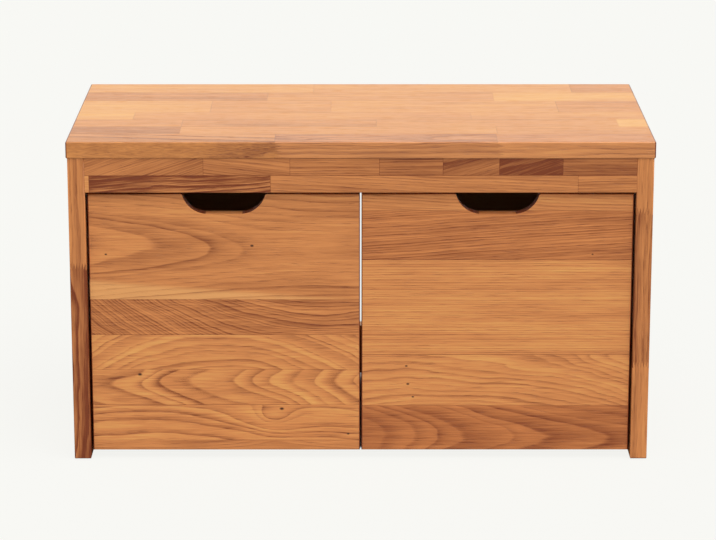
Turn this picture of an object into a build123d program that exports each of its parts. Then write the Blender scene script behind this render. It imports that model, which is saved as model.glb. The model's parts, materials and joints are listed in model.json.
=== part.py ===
from build123d import *
import os

# Hall bench: an oak seat on two sides and three rails, over two drawers that roll out on castors.
# Millimetres, +Z up from the floor, front at -Y, left and right as seen from the front.
# The origin is the middle of the footprint, on the floor.

# Overall size
bench_width = 900.0
bench_depth = 450.0
bench_height = 510.0

# Oak carcass
panel_thickness = 26.0
top_overhang = 2.0
seat_edge_radius = 2.0
panel_edge_radius = 1.5
rail_height = 54.0
stretcher_height = 84.0
stretcher_floor_gap = 14.0

# Floor glides, nailed under the sides
glide_height = 2.0
glide_radius = 10.0
glide_inset = 35.0
nail_radius = 1.5
nail_length = 20.0

# Wooden dowels of the carcass
dowel_radius = 4.0
dowel_length = 35.0
dowel_end_chamfer = 1.0
seat_dowel_offset = 100.0
rail_top_dowel_offset = 200.0

# Cam fittings of the carcass: a bolt in one panel, drawn tight by a turning cam in the other
cam_radius = 7.5
cam_centre_depth = 4.0
bolt_thread_radius = 2.5
bolt_thread_length = 11.0
bolt_shank_radius = 3.5
bolt_neck_radius = 2.0
bolt_neck_length = 5.0
bolt_head_length = 3.0
bolt_reach = 34.0
cam_slot_length = 8.0
cam_slot_width = 1.4
cam_slot_depth = 2.0
seat_cam_offset = 150.0
rail_fitting_offset = 13.0

# Clearances
hole_fit = 0.05
hole_end_room = 1.0
bolt_room = 0.4

# Gaps round the drawers
side_gap = 3.0
centre_gap = 2.4
rail_gap = 4.0
front_floor_gap = 14.0
front_recess = 8.0
stop_gap = 0.3

# Felt bumpers on the rear stretcher
bumper_radius = 6.0
bumper_thickness = 2.0
bumper_offset = 120.0
bumper_rise = 9.0

# Drawer fronts, each with a hand notch: a flat between two arcs
front_thickness = 20.0
front_edge_radius = 1.5
notch_flat = 50.0
notch_radius = 40.0
notch_depth = 31.0
notch_corner_radius = 3.0

# Plywood boxes behind the fronts
ply_thickness = 12.0
ply_edge_radius = 1.5
box_inset = 6.0
box_drop = 8.0
front_dowel_radius = 3.0
front_dowel_in_front = 12.0
front_dowel_in_box = 18.0
front_dowel_end_inset = 45.0
bottom_dowel_offset = 130.0

# Countersunk screws of the boxes
box_screw_radius = 2.0
box_screw_length = 40.0
box_screw_head_radius = 4.0
box_screw_recess_width = 1.0
box_screw_recess_depth = 1.6
box_screw_end_inset = 50.0

# Fixed castors
castor_height = 50.0
castor_inset_x = 45.0
castor_inset_y = 55.0
plate_length = 56.0
plate_width = 46.0
plate_thickness = 2.0
plate_corner_radius = 4.0
fork_leg_thickness = 2.0
fork_leg_width = 30.0
fork_eye_radius = 9.0
wheel_radius = 20.0
wheel_width = 16.0
wheel_side_play = 1.0
tyre_thickness = 4.0
tyre_edge_radius = 3.0
hub_boss_radius = 6.0
hub_rim_thickness = 2.5
hub_web_thickness = 5.0
axle_radius = 3.0
axle_head_radius = 5.0
axle_head_thickness = 1.6
axle_fit = 0.05

# Pan-head screws of the castors
castor_screw_radius = 1.75
castor_screw_length = 10.0
castor_screw_head_radius = 3.5
castor_screw_head_height = 2.2
castor_screw_inset = 7.0
castor_screw_recess_width = 1.0
castor_screw_recess_depth = 1.2

# Places worked out from the sizes above
side_outer = bench_width / 2 - top_overhang
side_inner = side_outer - panel_thickness
carcass_front = top_overhang - bench_depth / 2
carcass_back = bench_depth / 2 - top_overhang
seat_underside = bench_height - panel_thickness
rail_bottom = seat_underside - rail_height
front_rail_y = (carcass_front, carcass_front + panel_thickness)
rear_rail_y = (carcass_back - panel_thickness, carcass_back)
stretcher_z = (stretcher_floor_gap, stretcher_floor_gap + stretcher_height)

front_width = side_inner - side_gap - centre_gap / 2
front_centre = centre_gap / 2 + front_width / 2
front_y = (carcass_front + front_recess, carcass_front + front_recess + front_thickness)
front_z = (front_floor_gap, rail_bottom - rail_gap)
box_half = front_width / 2 - box_inset
box_y = (front_y[1], rear_rail_y[0] - bumper_thickness - stop_gap)
box_floor = castor_height + ply_thickness
box_z = (box_floor, front_z[1] - box_drop)
axle_z = wheel_radius
hub_radius = wheel_radius - tyre_thickness
fork_leg_inside = wheel_width / 2 + wheel_side_play


def middle(span):
    """The middle of a (low, high) pair."""
    return (span[0] + span[1]) / 2


def block(x, y, z):
    """A box that spans three (low, high) pairs."""
    size = [high - low for low, high in (x, y, z)]
    return Pos(middle(x), middle(y), middle(z)) * Box(*size)


def rod(radius, start, end):
    """A round bar from one point to another."""
    along = Vector(*end) - Vector(*start)
    bar = Cylinder(radius, along.length, align=(Align.CENTER, Align.CENTER, Align.MIN))
    return Plane(origin=start, z_dir=along) * bar


def taper(start_radius, end_radius, start, end):
    """A round bar that narrows from one point to another."""
    along = Vector(*end) - Vector(*start)
    cone = Cone(start_radius, end_radius, along.length, align=(Align.CENTER, Align.CENTER, Align.MIN))
    return Plane(origin=start, z_dir=along) * cone


def edges_at(solid, axis, **places):
    """The solid's straight edges along an axis whose middles lie at the places given, such as Y=10."""
    found = solid.edges().filter_by(axis)
    for name, place in places.items():
        found = found.filter_by(lambda edge: abs(getattr(edge.center(), name) - place) < 1e-3)
    return found


class Dowel:
    """A round wooden dowel across a joint, with the hole that takes each half."""

    def __init__(self, joint, along, radius, behind, ahead):
        joint, along = Vector(*joint), Vector(*along)
        start, end = joint - along * behind, joint + along * ahead
        pin = rod(radius, start, end)
        self.solid = chamfer(pin.edges().filter_by(GeomType.CIRCLE), dowel_end_chamfer)
        room = along * hole_end_room
        self.hole = rod(radius + hole_fit, start - room, end + room)


class CamFitting:
    """A bolt through a joint and the cam that grips its head, with the holes for both.

    The bolt is screwed in behind the joint. Ahead of it, along the way given, the cam sits in the
    panel's face on the side given, with the bolt in the middle of that panel's thickness.
    """

    def __init__(self, joint, along, side):
        joint, along, side = Vector(*joint), Vector(*along), Vector(*side)
        head = joint + along * (bolt_reach + bolt_head_length / 2)
        neck_end = head - along * bolt_head_length
        shank_end = neck_end - along * bolt_neck_length
        thread_end = joint - along * bolt_thread_length
        self.bolt = (
            rod(bolt_thread_radius, thread_end, joint)
            + rod(bolt_shank_radius, joint, shank_end)
            + rod(bolt_neck_radius, shank_end, neck_end)
            + rod(bolt_shank_radius, neck_end, head)
        )
        centre = joint + along * bolt_reach
        face = centre + side * (panel_thickness / 2)
        floor = centre - side * cam_centre_depth
        channel = bolt_shank_radius + bolt_room
        body = rod(cam_radius, floor, face) - rod(channel, joint, head + along * bolt_room)
        self.cam = body - cross_slots(face, side, cam_slot_length, cam_slot_width, cam_slot_depth)
        thread_hole = rod(bolt_thread_radius + hole_fit, thread_end - along * hole_end_room, joint)
        self.bolt_holes = [thread_hole, rod(channel, joint, centre)]
        self.cam_hole = rod(cam_radius + hole_fit, floor - side * hole_end_room, face)


def cross_slots(face, outwards, length, width, depth):
    """The cutter for a screwdriver's cross, in a face with the outward direction given."""
    bar = Box(length, width, 2 * depth)
    return Plane(origin=face, z_dir=outwards) * (bar + Rot(0, 0, 90) * bar)


# Fittings of the carcass
def seat_fittings():
    """The cam fittings between the seat and the sides, for the left side and then the right."""
    found = []
    for hand in (-1, 1):
        for end in (-1, 1):
            joint = (hand * (side_outer - panel_thickness / 2), end * seat_cam_offset, seat_underside)
            found.append(CamFitting(joint, (0, 0, -1), (-hand, 0, 0)))
    return found


def seat_dowels():
    """The dowels between the seat and the sides, and between the seat and the two upper rails."""
    found = []
    for hand in (-1, 1):
        places = [(side_outer - panel_thickness / 2, end * seat_dowel_offset) for end in (-1, 1)]
        places += [(rail_top_dowel_offset, middle(y)) for y in (front_rail_y, rear_rail_y)]
        for x, y in places:
            half = dowel_length / 2
            found.append(Dowel((hand * x, y, seat_underside), (0, 0, 1), dowel_radius, half, half))
    return found


def rail_fittings(y, z, inwards):
    """The cam fitting and the dowel at each end of a rail."""
    cams, dowels = [], []
    for hand in (-1, 1):
        along = (-hand, 0, 0)
        end = (hand * side_inner, middle(y))
        cams.append(CamFitting((*end, middle(z) + rail_fitting_offset), along, inwards))
        seat = (*end, middle(z) - rail_fitting_offset)
        dowels.append(Dowel(seat, along, dowel_radius, dowel_length / 2, dowel_length / 2))
    return cams, dowels


# Carcass
def seat_top():
    """The seat, eased along every edge."""
    half_width, half_depth = bench_width / 2, bench_depth / 2
    seat = block((-half_width, half_width), (-half_depth, half_depth), (seat_underside, bench_height))
    return fillet(seat.edges(), seat_edge_radius)


def side_panel(hand):
    """One side of the carcass, eased on its upright and lower edges."""
    x = sorted((hand * side_inner, hand * side_outer))
    panel = block(x, (carcass_front, carcass_back), (glide_height, seat_underside))
    eased = panel.edges().filter_by(Axis.Z) + panel.edges().group_by(Axis.Z)[0]
    return fillet(eased, panel_edge_radius)


def rail(y, z):
    """A rail between the sides, eased along its lower edges."""
    bar = block((-side_inner, side_inner), y, z)
    return fillet(edges_at(bar, Axis.X, Z=z[0]), panel_edge_radius)


def floor_glides():
    """Nail-on glides under both ends of both sides."""
    glides, holes = [], []
    x = side_outer - panel_thickness / 2
    for hand in (-1, 1):
        for y in (carcass_front + glide_inset, carcass_back - glide_inset):
            foot, seat = (hand * x, y, 0), (hand * x, y, glide_height)
            disc = rod(glide_radius, foot, seat)
            disc = chamfer(disc.edges().group_by(Axis.Z)[0], glide_height / 2)
            point = (hand * x, y, glide_height + nail_length)
            glides.append(disc + rod(nail_radius, seat, point))
            holes.append(rod(nail_radius + hole_fit, seat, (*point[:2], point[2] + hole_end_room)))
    return glides, holes


def drawer_bumpers():
    """Felt dots on the rear stretcher that stop each drawer."""
    y, z = rear_rail_y[0], box_floor + bumper_rise
    places = [hand * front_centre + end * bumper_offset for hand in (-1, 1) for end in (-1, 1)]
    return [rod(bumper_radius, (x, y - bumper_thickness, z), (x, y, z)) for x in places]


def carcass():
    """The solids of the carcass, by node name."""
    front_cams, front_dowels = rail_fittings(front_rail_y, (rail_bottom, seat_underside), (0, 1, 0))
    rear_cams, rear_dowels = rail_fittings(rear_rail_y, (rail_bottom, seat_underside), (0, -1, 0))
    low_cams, low_dowels = rail_fittings(rear_rail_y, stretcher_z, (0, -1, 0))
    cams = seat_fittings() + front_cams + rear_cams + low_cams
    dowels = seat_dowels() + front_dowels + rear_dowels + low_dowels
    glides, glide_holes = floor_glides()
    holes = [dowel.hole for dowel in dowels] + glide_holes
    holes += [hole for cam in cams for hole in (*cam.bolt_holes, cam.cam_hole)]
    panels = {
        "seat_top": seat_top(),
        "left_side": side_panel(-1),
        "right_side": side_panel(1),
        "front_rail": rail(front_rail_y, (rail_bottom, seat_underside)),
        "rear_top_rail": rail(rear_rail_y, (rail_bottom, seat_underside)),
        "rear_stretcher": rail(rear_rail_y, stretcher_z),
    }
    nodes = {name: [panel - holes] for name, panel in panels.items()}
    nodes["carcass_dowels"] = [dowel.solid for dowel in dowels]
    nodes["cam_bolts"] = [cam.bolt for cam in cams]
    nodes["cam_locks"] = [cam.cam for cam in cams]
    nodes["floor_glides"] = glides
    nodes["drawer_bumpers"] = drawer_bumpers()
    return nodes


# Drawers, each worked out about its own centre line and then moved to its place
def drawer_front():
    """The oak front, with its hand notch cut down from the upper edge."""
    half, height = front_width / 2, front_z[1] - front_z[0]
    arc_centre = front_z[1] - notch_depth + notch_radius
    notch = Pos(0, arc_centre) * Rectangle(notch_flat, 2 * notch_radius)
    for hand in (-1, 1):
        notch += Pos(hand * notch_flat / 2, arc_centre) * Circle(notch_radius)
    outline = Pos(0, middle(front_z)) * Rectangle(front_width, height) - notch
    front = Pos(0, front_y[1], 0) * extrude(Plane.XZ * outline, front_thickness)
    corners = edges_at(front, Axis.Y, Z=front_z[1])
    notch_corners = corners.filter_by(lambda edge: abs(edge.center().X) < half - notch_corner_radius)
    front = fillet(notch_corners, notch_corner_radius)
    rims = front.faces().filter_by(Axis.Y).edges()
    return fillet(rims, front_edge_radius)


def box_panels():
    """The plywood bottom, sides and back of a drawer, by name."""
    inside = box_half - ply_thickness
    left = block((-box_half, -inside), box_y, box_z)
    right = block((inside, box_half), box_y, box_z)
    back = block((-inside, inside), (box_y[1] - ply_thickness, box_y[1]), box_z)
    panels = {
        "left_side": fillet(edges_at(left, Axis.Y, Z=box_z[1]), ply_edge_radius),
        "right_side": fillet(edges_at(right, Axis.Y, Z=box_z[1]), ply_edge_radius),
        "back": fillet(edges_at(back, Axis.X, Z=box_z[1]), ply_edge_radius),
        "bottom": block((-box_half, box_half), box_y, (castor_height, box_floor)),
    }
    return panels


def front_dowels():
    """The dowels that hold a front to the sides and the bottom of its box."""
    side_x = box_half - ply_thickness / 2
    heights = (box_z[0] + front_dowel_end_inset, middle(box_z), box_z[1] - front_dowel_end_inset)
    places = [(hand * side_x, z) for hand in (-1, 1) for z in heights]
    bottom_z = castor_height + ply_thickness / 2
    places += [(step * bottom_dowel_offset, bottom_z) for step in (-1, 0, 1)]
    joints = [(x, front_y[1], z) for x, z in places]
    return [
        Dowel(joint, (0, 1, 0), front_dowel_radius, front_dowel_in_front, front_dowel_in_box)
        for joint in joints
    ]


def countersunk_screw(head, along):
    """A countersunk wood screw from its head's face, with the hole that takes it."""
    head, along = Vector(*head), Vector(*along)
    cone_end = head + along * (box_screw_head_radius - box_screw_radius)
    end = head + along * box_screw_length
    cone = taper(box_screw_head_radius, box_screw_radius, head, cone_end)
    body = cone + rod(box_screw_radius, cone_end, end)
    recess = cross_slots(
        head, along * -1, box_screw_head_radius, box_screw_recess_width, box_screw_recess_depth
    )
    hole_cone = taper(box_screw_head_radius + hole_fit, box_screw_radius + hole_fit, head, cone_end)
    shaft_hole = rod(box_screw_radius + hole_fit, cone_end, end + along * hole_end_room)
    return body - recess, hole_cone + shaft_hole


def box_screws():
    """The screws that hold a box's sides to its back, and its bottom to its sides and back."""
    back_y = box_y[1] - ply_thickness / 2
    side_x = box_half - ply_thickness / 2
    heights = (box_z[0] + box_screw_end_inset, middle(box_z), box_z[1] - box_screw_end_inset)
    depths = (box_y[0] + box_screw_end_inset, middle(box_y), box_y[1] - 2 * box_screw_end_inset)
    made = []
    for hand in (-1, 1):
        made += [countersunk_screw((hand * box_half, back_y, z), (-hand, 0, 0)) for z in heights]
        made += [countersunk_screw((hand * side_x, y, castor_height), (0, 0, 1)) for y in depths]
        back_x = hand * bottom_dowel_offset
        made.append(countersunk_screw((back_x, back_y, castor_height), (0, 0, 1)))
    return made


def castor_places():
    """Where each castor's wheel centre stands, by name."""
    ends = {"front": box_y[0] + castor_inset_y, "rear": box_y[1] - castor_inset_y}
    hands = {"left": castor_inset_x - box_half, "right": box_half - castor_inset_x}
    return {f"{end}_{hand}": (x, y) for end, y in ends.items() for hand, x in hands.items()}


def castor_fork(x, y):
    """A castor's plate with its two legs, drilled for the axle and for its screws."""
    plate_z = (castor_height - plate_thickness, castor_height)
    plate = Pos(x, y, middle(plate_z)) * Box(plate_width, plate_length, plate_thickness)
    fork = fillet(plate.edges().filter_by(Axis.Z), plate_corner_radius)
    for hand in (-1, 1):
        inside = x + hand * fork_leg_inside
        outside = inside + hand * fork_leg_thickness
        shape = Polygon(
            (y - fork_leg_width / 2, plate_z[0]),
            (y - fork_eye_radius, axle_z),
            (y + fork_eye_radius, axle_z),
            (y + fork_leg_width / 2, plate_z[0]),
            align=None,
        )
        leg = Pos(min(inside, outside), 0, 0) * extrude(Plane.YZ * shape, fork_leg_thickness)
        fork += leg + rod(fork_eye_radius, (inside, y, axle_z), (outside, y, axle_z))
    reach = fork_leg_inside + fork_leg_thickness + 1
    fork -= rod(axle_radius + axle_fit, (x - reach, y, axle_z), (x + reach, y, axle_z))
    return fork - [hole for _, hole in castor_screws(x, y)]


def castor_axle(x, y):
    """A riveted axle, headed outside both legs of its fork."""
    reach = fork_leg_inside + fork_leg_thickness
    axle = rod(axle_radius, (x - reach, y, axle_z), (x + reach, y, axle_z))
    for hand in (-1, 1):
        seat = x + hand * reach
        axle += rod(axle_head_radius, (seat, y, axle_z), (seat + hand * axle_head_thickness, y, axle_z))
    return axle


def castor_screws(x, y):
    """The four pan-head screws under a castor's plate, each with its hole."""
    reach_x, reach_y = plate_width / 2 - castor_screw_inset, plate_length / 2 - castor_screw_inset
    seat_z = castor_height - plate_thickness
    made = []
    for step_x in (-1, 1):
        for step_y in (-1, 1):
            place = (x + step_x * reach_x, y + step_y * reach_y)
            seat, face = (*place, seat_z), (*place, seat_z - castor_screw_head_height)
            point = (*place, seat_z + castor_screw_length)
            head = rod(castor_screw_head_radius, face, seat)
            head = fillet(head.edges().group_by(Axis.Z)[0], castor_screw_head_height / 2)
            recess = cross_slots(
                face,
                (0, 0, -1),
                castor_screw_head_radius,
                castor_screw_recess_width,
                castor_screw_recess_depth,
            )
            screw = head + rod(castor_screw_radius, seat, point) - recess
            hole = rod(castor_screw_radius + hole_fit, seat, (*place, point[2] + hole_end_room))
            made.append((screw, hole))
    return made


def wheel_hub(x, y):
    """A hub with a boss, a web and a rim, bored to turn on its axle."""
    half = wheel_width / 2
    hub = rod(hub_radius, (x - half, y, axle_z), (x + half, y, axle_z))
    for hand in (-1, 1):
        web = x + hand * hub_web_thickness / 2
        face = x + hand * half
        pocket = rod(hub_radius - hub_rim_thickness, (web, y, axle_z), (face, y, axle_z))
        hub -= pocket - rod(hub_boss_radius, (web, y, axle_z), (face, y, axle_z))
    return hub - rod(axle_radius + axle_fit, (x - half, y, axle_z), (x + half, y, axle_z))


def wheel_tyre(x, y):
    """A soft tyre with rounded shoulders, moulded round its hub."""
    half = wheel_width / 2
    tyre = rod(wheel_radius, (x - half, y, axle_z), (x + half, y, axle_z))
    tyre = fillet(tyre.edges().filter_by(GeomType.CIRCLE), tyre_edge_radius)
    return tyre - rod(hub_radius, (x - half, y, axle_z), (x + half, y, axle_z))


def drawer(name, centre):
    """The solids of one drawer, by node name."""
    dowels, screws, places = front_dowels(), box_screws(), castor_places()
    plate_screws = [pair for place in places.values() for pair in castor_screws(*place)]
    holes = [dowel.hole for dowel in dowels] + [hole for _, hole in screws + plate_screws]
    pieces = {"front": drawer_front(), **box_panels()}
    nodes = {f"{name}_drawer_{piece}": [solid - holes] for piece, solid in pieces.items()}
    nodes[f"{name}_drawer_dowels"] = [dowel.solid for dowel in dowels]
    nodes[f"{name}_drawer_screws"] = [screw for screw, _ in screws]
    nodes[f"{name}_castor_forks"] = [castor_fork(*place) for place in places.values()]
    nodes[f"{name}_castor_axles"] = [castor_axle(*place) for place in places.values()]
    nodes[f"{name}_castor_screws"] = [screw for screw, _ in plate_screws]
    for wheel, place in places.items():
        nodes[f"{name}_{wheel}_hub"] = [wheel_hub(*place)]
        nodes[f"{name}_{wheel}_tyre"] = [wheel_tyre(*place)]
    return {node: [Pos(centre, 0, 0) * solid for solid in solids] for node, solids in nodes.items()}


nodes = {**carcass(), **drawer("left", -front_centre), **drawer("right", front_centre)}
os.makedirs("parts", exist_ok=True)
for name, solids in nodes.items():
    export_step(Compound([solid.solid() for solid in solids]), f"parts/{name}.step")
print(len(nodes), "nodes,", sum(len(solids) for solids in nodes.values()), "solids")
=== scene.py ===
# %% [markdown]
# # A hall bench in oiled oak
#
# The bench is an oak seat on two oak sides, tied by three rails, over two drawers that roll on the floor
# behind oak fronts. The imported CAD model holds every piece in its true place, so it is loaded first and
# is never moved. The boards are then rebuilt here, because a plain CAD panel has no staves, no finger
# joints and no grain.

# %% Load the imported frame
import json
import math
import random
from dataclasses import dataclass, replace

import bmesh
import bpy
from mathutils import Matrix, Vector

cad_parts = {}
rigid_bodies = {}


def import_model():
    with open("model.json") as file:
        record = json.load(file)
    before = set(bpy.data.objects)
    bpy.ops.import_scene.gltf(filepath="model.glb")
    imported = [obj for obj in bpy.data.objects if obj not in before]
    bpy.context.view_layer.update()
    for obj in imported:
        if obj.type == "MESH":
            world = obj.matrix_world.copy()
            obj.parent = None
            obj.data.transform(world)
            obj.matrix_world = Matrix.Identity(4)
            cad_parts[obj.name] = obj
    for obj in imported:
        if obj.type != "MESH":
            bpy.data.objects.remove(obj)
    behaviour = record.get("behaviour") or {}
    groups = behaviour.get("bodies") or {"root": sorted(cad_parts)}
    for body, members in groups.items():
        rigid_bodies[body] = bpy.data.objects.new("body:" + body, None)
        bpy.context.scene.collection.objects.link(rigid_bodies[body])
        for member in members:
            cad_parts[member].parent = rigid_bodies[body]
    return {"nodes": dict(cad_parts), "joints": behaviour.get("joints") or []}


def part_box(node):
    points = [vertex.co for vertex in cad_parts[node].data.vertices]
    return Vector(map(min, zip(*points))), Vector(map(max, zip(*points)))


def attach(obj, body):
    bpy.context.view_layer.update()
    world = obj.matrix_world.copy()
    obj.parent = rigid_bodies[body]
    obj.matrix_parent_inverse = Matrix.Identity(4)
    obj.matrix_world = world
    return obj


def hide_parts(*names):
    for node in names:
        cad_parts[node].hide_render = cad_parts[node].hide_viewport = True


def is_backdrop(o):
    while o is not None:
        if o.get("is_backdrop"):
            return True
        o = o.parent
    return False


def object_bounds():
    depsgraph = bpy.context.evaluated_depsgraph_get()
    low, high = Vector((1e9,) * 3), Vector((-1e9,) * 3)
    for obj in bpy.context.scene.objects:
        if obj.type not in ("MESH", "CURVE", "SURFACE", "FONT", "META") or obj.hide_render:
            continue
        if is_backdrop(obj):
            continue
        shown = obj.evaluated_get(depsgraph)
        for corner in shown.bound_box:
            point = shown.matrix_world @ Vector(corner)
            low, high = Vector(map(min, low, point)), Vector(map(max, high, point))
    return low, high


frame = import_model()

cad_low, cad_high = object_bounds()
scene = bpy.context.scene

# %% [markdown]
# ## A short way to write nodes
#
# Wood, zinc and rubber are all sums of a few noises. Wiring such sums by hand hides the arithmetic, so a
# Field stands for a value that varies over a surface, and Python's operators on it add the Math nodes.
# Every other node comes from one method, Graph.node, which serves materials, the world and Geometry
# Nodes alike.

# %% Fields and graphs
class Field:
    """A socket's value, on which Python's operators add Math nodes."""

    def __init__(self, graph, socket):
        self.graph = graph
        self.socket = socket

    def out(self, name):
        """Another output of the node that this value comes from."""
        return Field(self.graph, self.socket.node.outputs[name])

    def math(self, operation, *values):
        return self.graph.node("ShaderNodeMath", {"operation": operation}, dict(enumerate(values)))

    def __add__(self, other):
        return self.math("ADD", self, other)

    def __radd__(self, other):
        return self.math("ADD", other, self)

    def __sub__(self, other):
        return self.math("SUBTRACT", self, other)

    def __rsub__(self, other):
        return self.math("SUBTRACT", other, self)

    def __mul__(self, other):
        return self.math("MULTIPLY", self, other)

    def __rmul__(self, other):
        return self.math("MULTIPLY", other, self)

    def __truediv__(self, other):
        return self.math("DIVIDE", self, other)

    def __rtruediv__(self, other):
        return self.math("DIVIDE", other, self)

    def __pow__(self, other):
        return self.math("POWER", self, other)

    def at_most(self, other):
        return self.math("MINIMUM", self, other)

    def at_least(self, other):
        return self.math("MAXIMUM", self, other)

    def fraction(self):
        return self.math("FRACT", self)

    def rise(self, start, end):
        """0 up to start, 1 from end on, and a smooth step between them."""
        sockets = {"Value": self, "From Min": start, "From Max": end}
        return self.graph.node("ShaderNodeMapRange", {"interpolation_type": "SMOOTHSTEP"}, sockets)


class Graph:
    """A node tree to which nodes are added by type, settings and sockets."""

    def __init__(self, tree):
        self.tree = tree

    def plug(self, socket, value):
        if isinstance(value, Field):
            self.tree.links.new(value.socket, socket)
        else:
            socket.default_value = value

    def node(self, kind, settings=None, sockets=None, output=0):
        made = self.tree.nodes.new(kind)
        for name, value in (settings or {}).items():
            setattr(made, name, value)
        for name, value in (sockets or {}).items():
            self.plug(made.inputs[name], value)
        return None if output is None else Field(self, made.outputs[output])

    def blend(self, share, first, second, mode="MIX"):
        """The first colour with a share of the second."""
        settings = {"data_type": "RGBA", "blend_type": mode}
        return self.node("ShaderNodeMix", settings, {0: share, 6: first, 7: second}, output=2)

    def stretched(self, vector, factors):
        return self.node("ShaderNodeVectorMath", {"operation": "MULTIPLY"}, {0: vector, 1: factors})

    def noise(self, vector, factors, detail=2.0):
        """Soft noise from 0 to 1, with so many waves a metre along each axis."""
        sockets = {"Vector": self.stretched(vector, factors), "Scale": 1.0, "Detail": detail}
        return self.node("ShaderNodeTexNoise", None, sockets)

    def line_noise(self, value):
        """Soft noise from 0 to 1 along one number."""
        sockets = {"W": value, "Scale": 1.0, "Detail": 1.0}
        return self.node("ShaderNodeTexNoise", {"noise_dimensions": "1D"}, sockets)


SHADER_SOCKETS = {"ior": "IOR"}


class Finish(Graph):
    """A material and its surface shader."""

    def __init__(self, name):
        self.material = bpy.data.materials.new(name)
        self.material.use_nodes = True
        super().__init__(self.material.node_tree)
        self.shader = self.tree.nodes["Principled BSDF"]

    def attribute(self, name):
        """A vector stored on the mesh, as its three parts and whole."""
        whole = self.node("ShaderNodeAttribute", {"attribute_name": name}, output="Vector")
        parts = self.node("ShaderNodeSeparateXYZ", None, {0: whole})
        return parts, parts.out("Y"), parts.out("Z"), whole

    def place(self):
        """The place on the object, as its three parts and whole."""
        whole = self.node("ShaderNodeTexCoord", output="Object")
        parts = self.node("ShaderNodeSeparateXYZ", None, {0: whole})
        return parts, parts.out("Y"), parts.out("Z"), whole

    def surface(self, bump=None, bump_height=0.0, **sockets):
        """Sets the shader's sockets, and a bump of the given height in metres."""
        for name, value in sockets.items():
            self.plug(self.shader.inputs[SHADER_SOCKETS.get(name) or name.replace("_", " ").title()], value)
        if bump is not None:
            normal = self.node("ShaderNodeBump", None, {"Height": bump, "Distance": bump_height})
            self.plug(self.shader.inputs["Normal"], normal)
        return self.material


print("node helpers ready")

# %% [markdown]
# ## The camera
#
# A product photographer stands well back with a long lens, so that the bench's sides look almost
# parallel. The camera is about four and a half metres away, just under one and a half metres up, and
# tips down by fifteen degrees. These numbers come from fitting the CAD model's corners to the corners in
# the photograph.

# %% Camera
SENSOR_WIDTH = 36.0
LENS = 145.57
CAMERA_PLACE = (-0.0069, -4.530, 1.460)
CAMERA_TIP = 14.975
CAMERA_TURN = -0.036

camera = bpy.data.objects.new("camera", bpy.data.cameras.new("camera"))
camera.data.sensor_width = SENSOR_WIDTH
camera.data.lens = LENS
camera.location = CAMERA_PLACE
camera.rotation_euler = (math.radians(90 - CAMERA_TIP), 0.0, math.radians(CAMERA_TURN))
scene.collection.objects.link(camera)
scene.camera = camera
print("camera: lens", camera.data.lens, "mm")

# %% [markdown]
# ## Light and floor
#
# The bench is shown on white with very soft light from above its front. A wide sun gives even light over
# the whole floor, and a pale world fills the shadows. To the camera the world and the floor are the same
# warm white, and part of the floor is still lit paint, so it keeps the shadow. Right under the bench the
# floor is all lit paint, because a glow there would shine out through the gap between the fronts.

# %% Studio
PAPER_WHITE = (0.939, 0.939, 0.905, 1.0)
FILL_LIGHT = (0.42, 0.42, 0.43, 1.0)
SUN_STRENGTH = 2.7
SUN_ELEVATION = 62.0
SUN_TURN = 25.0
SUN_SPREAD = 60.0
FLOOR_SIZE = 30.0
FLOOR_PAINT = (0.55, 0.55, 0.535, 1.0)
FLOOR_GLOW = (0.971, 0.971, 0.937, 1.0)
FLOOR_PAPER_SHARE = 0.9
UNDER_BENCH_SIDES = (0.35, 0.42)
UNDER_BENCH_FRONT = (-0.170, -0.155)
UNDER_BENCH_BACK = (0.40, 0.65)

scene.view_settings.view_transform = "Standard"
world = bpy.data.worlds.new("studio")
world.use_nodes = True
scene.world = world
sky = Graph(world.node_tree)
ray = sky.node("ShaderNodeLightPath", output="Is Camera Ray")
seen = (ray + ray.out("Is Glossy Ray") + ray.out("Is Transmission Ray")).at_most(1.0)
background = world.node_tree.nodes["Background"]
sky.plug(background.inputs["Color"], sky.blend(seen, FILL_LIGHT, PAPER_WHITE))

sun = bpy.data.objects.new("sun", bpy.data.lights.new("sun", "SUN"))
sun.data.energy = SUN_STRENGTH
sun.data.angle = math.radians(SUN_SPREAD)
sun.rotation_euler = (math.radians(90 - SUN_ELEVATION), 0.0, math.radians(SUN_TURN))
scene.collection.objects.link(sun)

paper = Finish("floor_paper")
paint = paper.node("ShaderNodeBsdfDiffuse", None, {"Color": FLOOR_PAINT})
glow = paper.node("ShaderNodeEmission", None, {"Color": FLOOR_GLOW, "Strength": 1.0})
to_camera = paper.node("ShaderNodeLightPath", output="Is Camera Ray")
x, y, _, _ = paper.place()
between_sides = 1 - x.math("ABSOLUTE", x).rise(*UNDER_BENCH_SIDES)
under_bench = between_sides * y.rise(*UNDER_BENCH_FRONT) * (1 - y.rise(*UNDER_BENCH_BACK))
share = to_camera * FLOOR_PAPER_SHARE * (1 - under_bench)
mixed = paper.node("ShaderNodeMixShader", None, {0: share, 1: paint, 2: glow})
paper.plug(paper.tree.nodes["Material Output"].inputs["Surface"], mixed)

half = FLOOR_SIZE / 2
floor_mesh = bpy.data.meshes.new("floor")
corners = [(-half, -half, 0), (half, -half, 0), (half, half, 0), (-half, half, 0)]
floor_mesh.from_pydata(corners, [], [(0, 1, 2, 3)])
floor_mesh.materials.append(paper.material)
floor = bpy.data.objects.new("floor", floor_mesh)
scene.collection.objects.link(floor)
floor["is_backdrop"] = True
print("studio: sun", SUN_STRENGTH, "at", SUN_ELEVATION, "degrees")

# %% [markdown]
# ## Oiled oak
#
# Oak shows its growth rings as dark lines of open pores, each sharp on one side and fading on the other.
# A picture of wood would stretch at the edges and repeat. Instead each stave carries its place in the log
# it was sawn from: how far along it, and how far across and up from the heart. Rings are then shells round
# the heart, and faces, edges and ends all show the right cut of them. Slow noise bends the shells, so a
# flat cut makes flames and a cut on the quarter makes straight lines.

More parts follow.
